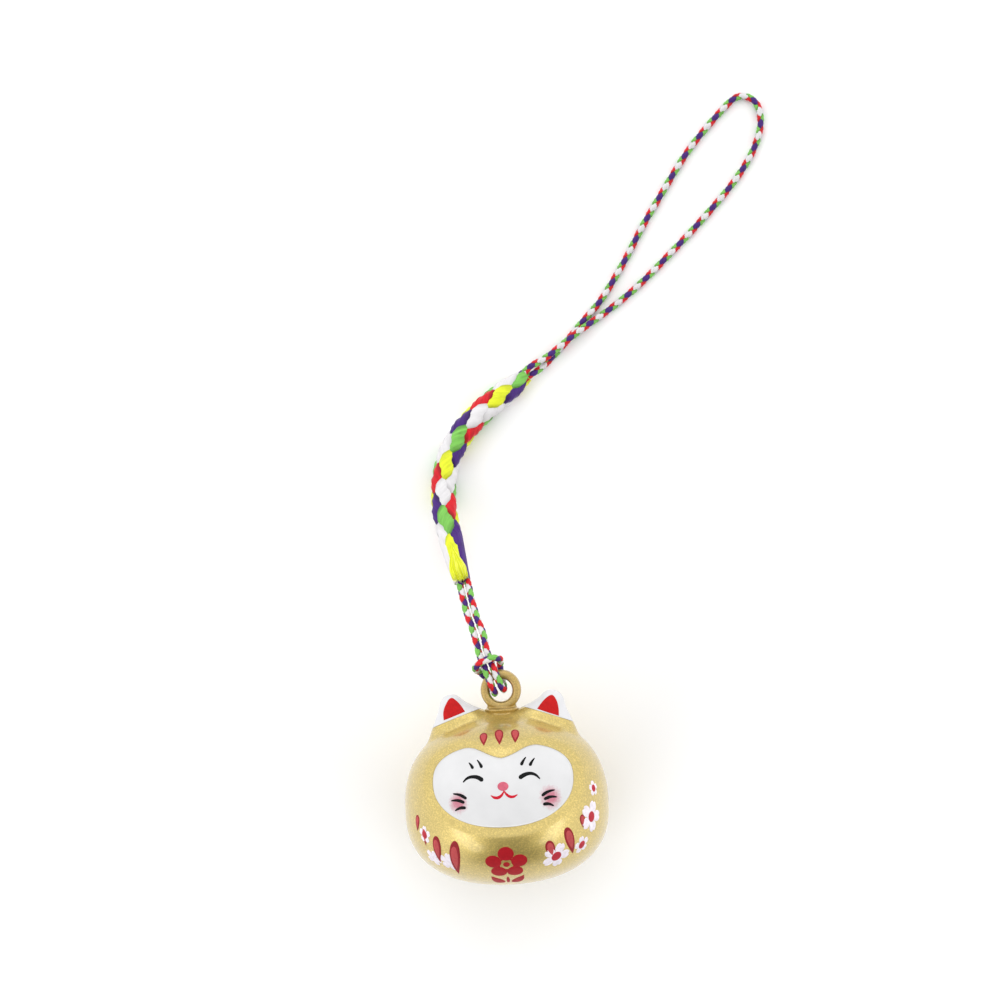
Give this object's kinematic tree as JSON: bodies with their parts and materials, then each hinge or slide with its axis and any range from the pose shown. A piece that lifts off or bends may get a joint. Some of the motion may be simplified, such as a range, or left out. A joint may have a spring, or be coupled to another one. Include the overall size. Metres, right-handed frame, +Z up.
{
  "type": "cat bell charm on a braided strap",
  "caption": "Round cat-shaped bell with ears, a recessed painted face, a sound slit and a loose pellet, hung by its ring on a thin braided cord with a thick woven sleeve and a finger loop.",
  "frame": {"origin": "on the resting surface, under the middle of the bell with its ring, the strap left out", "axes": "+Z up out of the face of the lying bell, +Y along the bell's axis toward the ring, +X to the cat's left ear side as seen from above (viewer's right)"},
  "size_m": [0.0493, 0.097, 0.0251],
  "materials": {
    "gold_paint": "satin metallic gold paint with fine sparkle",
    "white_enamel": "smooth white enamel",
    "red_print": "thin red and pink printed paint",
    "black_print": "thin black printed paint",
    "pellet_steel": "plain rolled steel",
    "thin_braid": "glossy rayon, four strands in red, green, purple and white",
    "thick_braid": "glossy rayon, six strands in five colours"
  },
  "bodies": {
    "bell": {"front_shell": "gold_paint", "back_shell": "gold_paint", "face_panel": "white_enamel", "left_ear": "white_enamel", "right_ear": "white_enamel", "hanger_ring": "gold_paint"},
    "pellet": {"clapper_pellet": "pellet_steel"},
    "strap": {"neck_cord": "thin_braid", "braided_sleeve": "thick_braid"},
    "loop": {"loop_cord": "thin_braid"}
  },
  "joints": [
    {"name": "pellet_roll", "type": "hinge", "parent": "bell", "child": "pellet", "pos_m": [0, -0.00385, 0.0085], "axis": [1, 0, 0], "range_deg": [-60, 60]},
    {"name": "strap_swing", "type": "hinge", "parent": "bell", "child": "strap", "pos_m": [0, 0.01055, 0.0125], "axis": [0, 0, 1], "range_deg": [-60, 30]},
    {"name": "loop_bend", "type": "hinge", "parent": "strap", "child": "loop", "pos_m": [0.0049, 0.0496, 0.0014], "axis": [0, 0, 1], "range_deg": [-30, 30]}
  ]
}
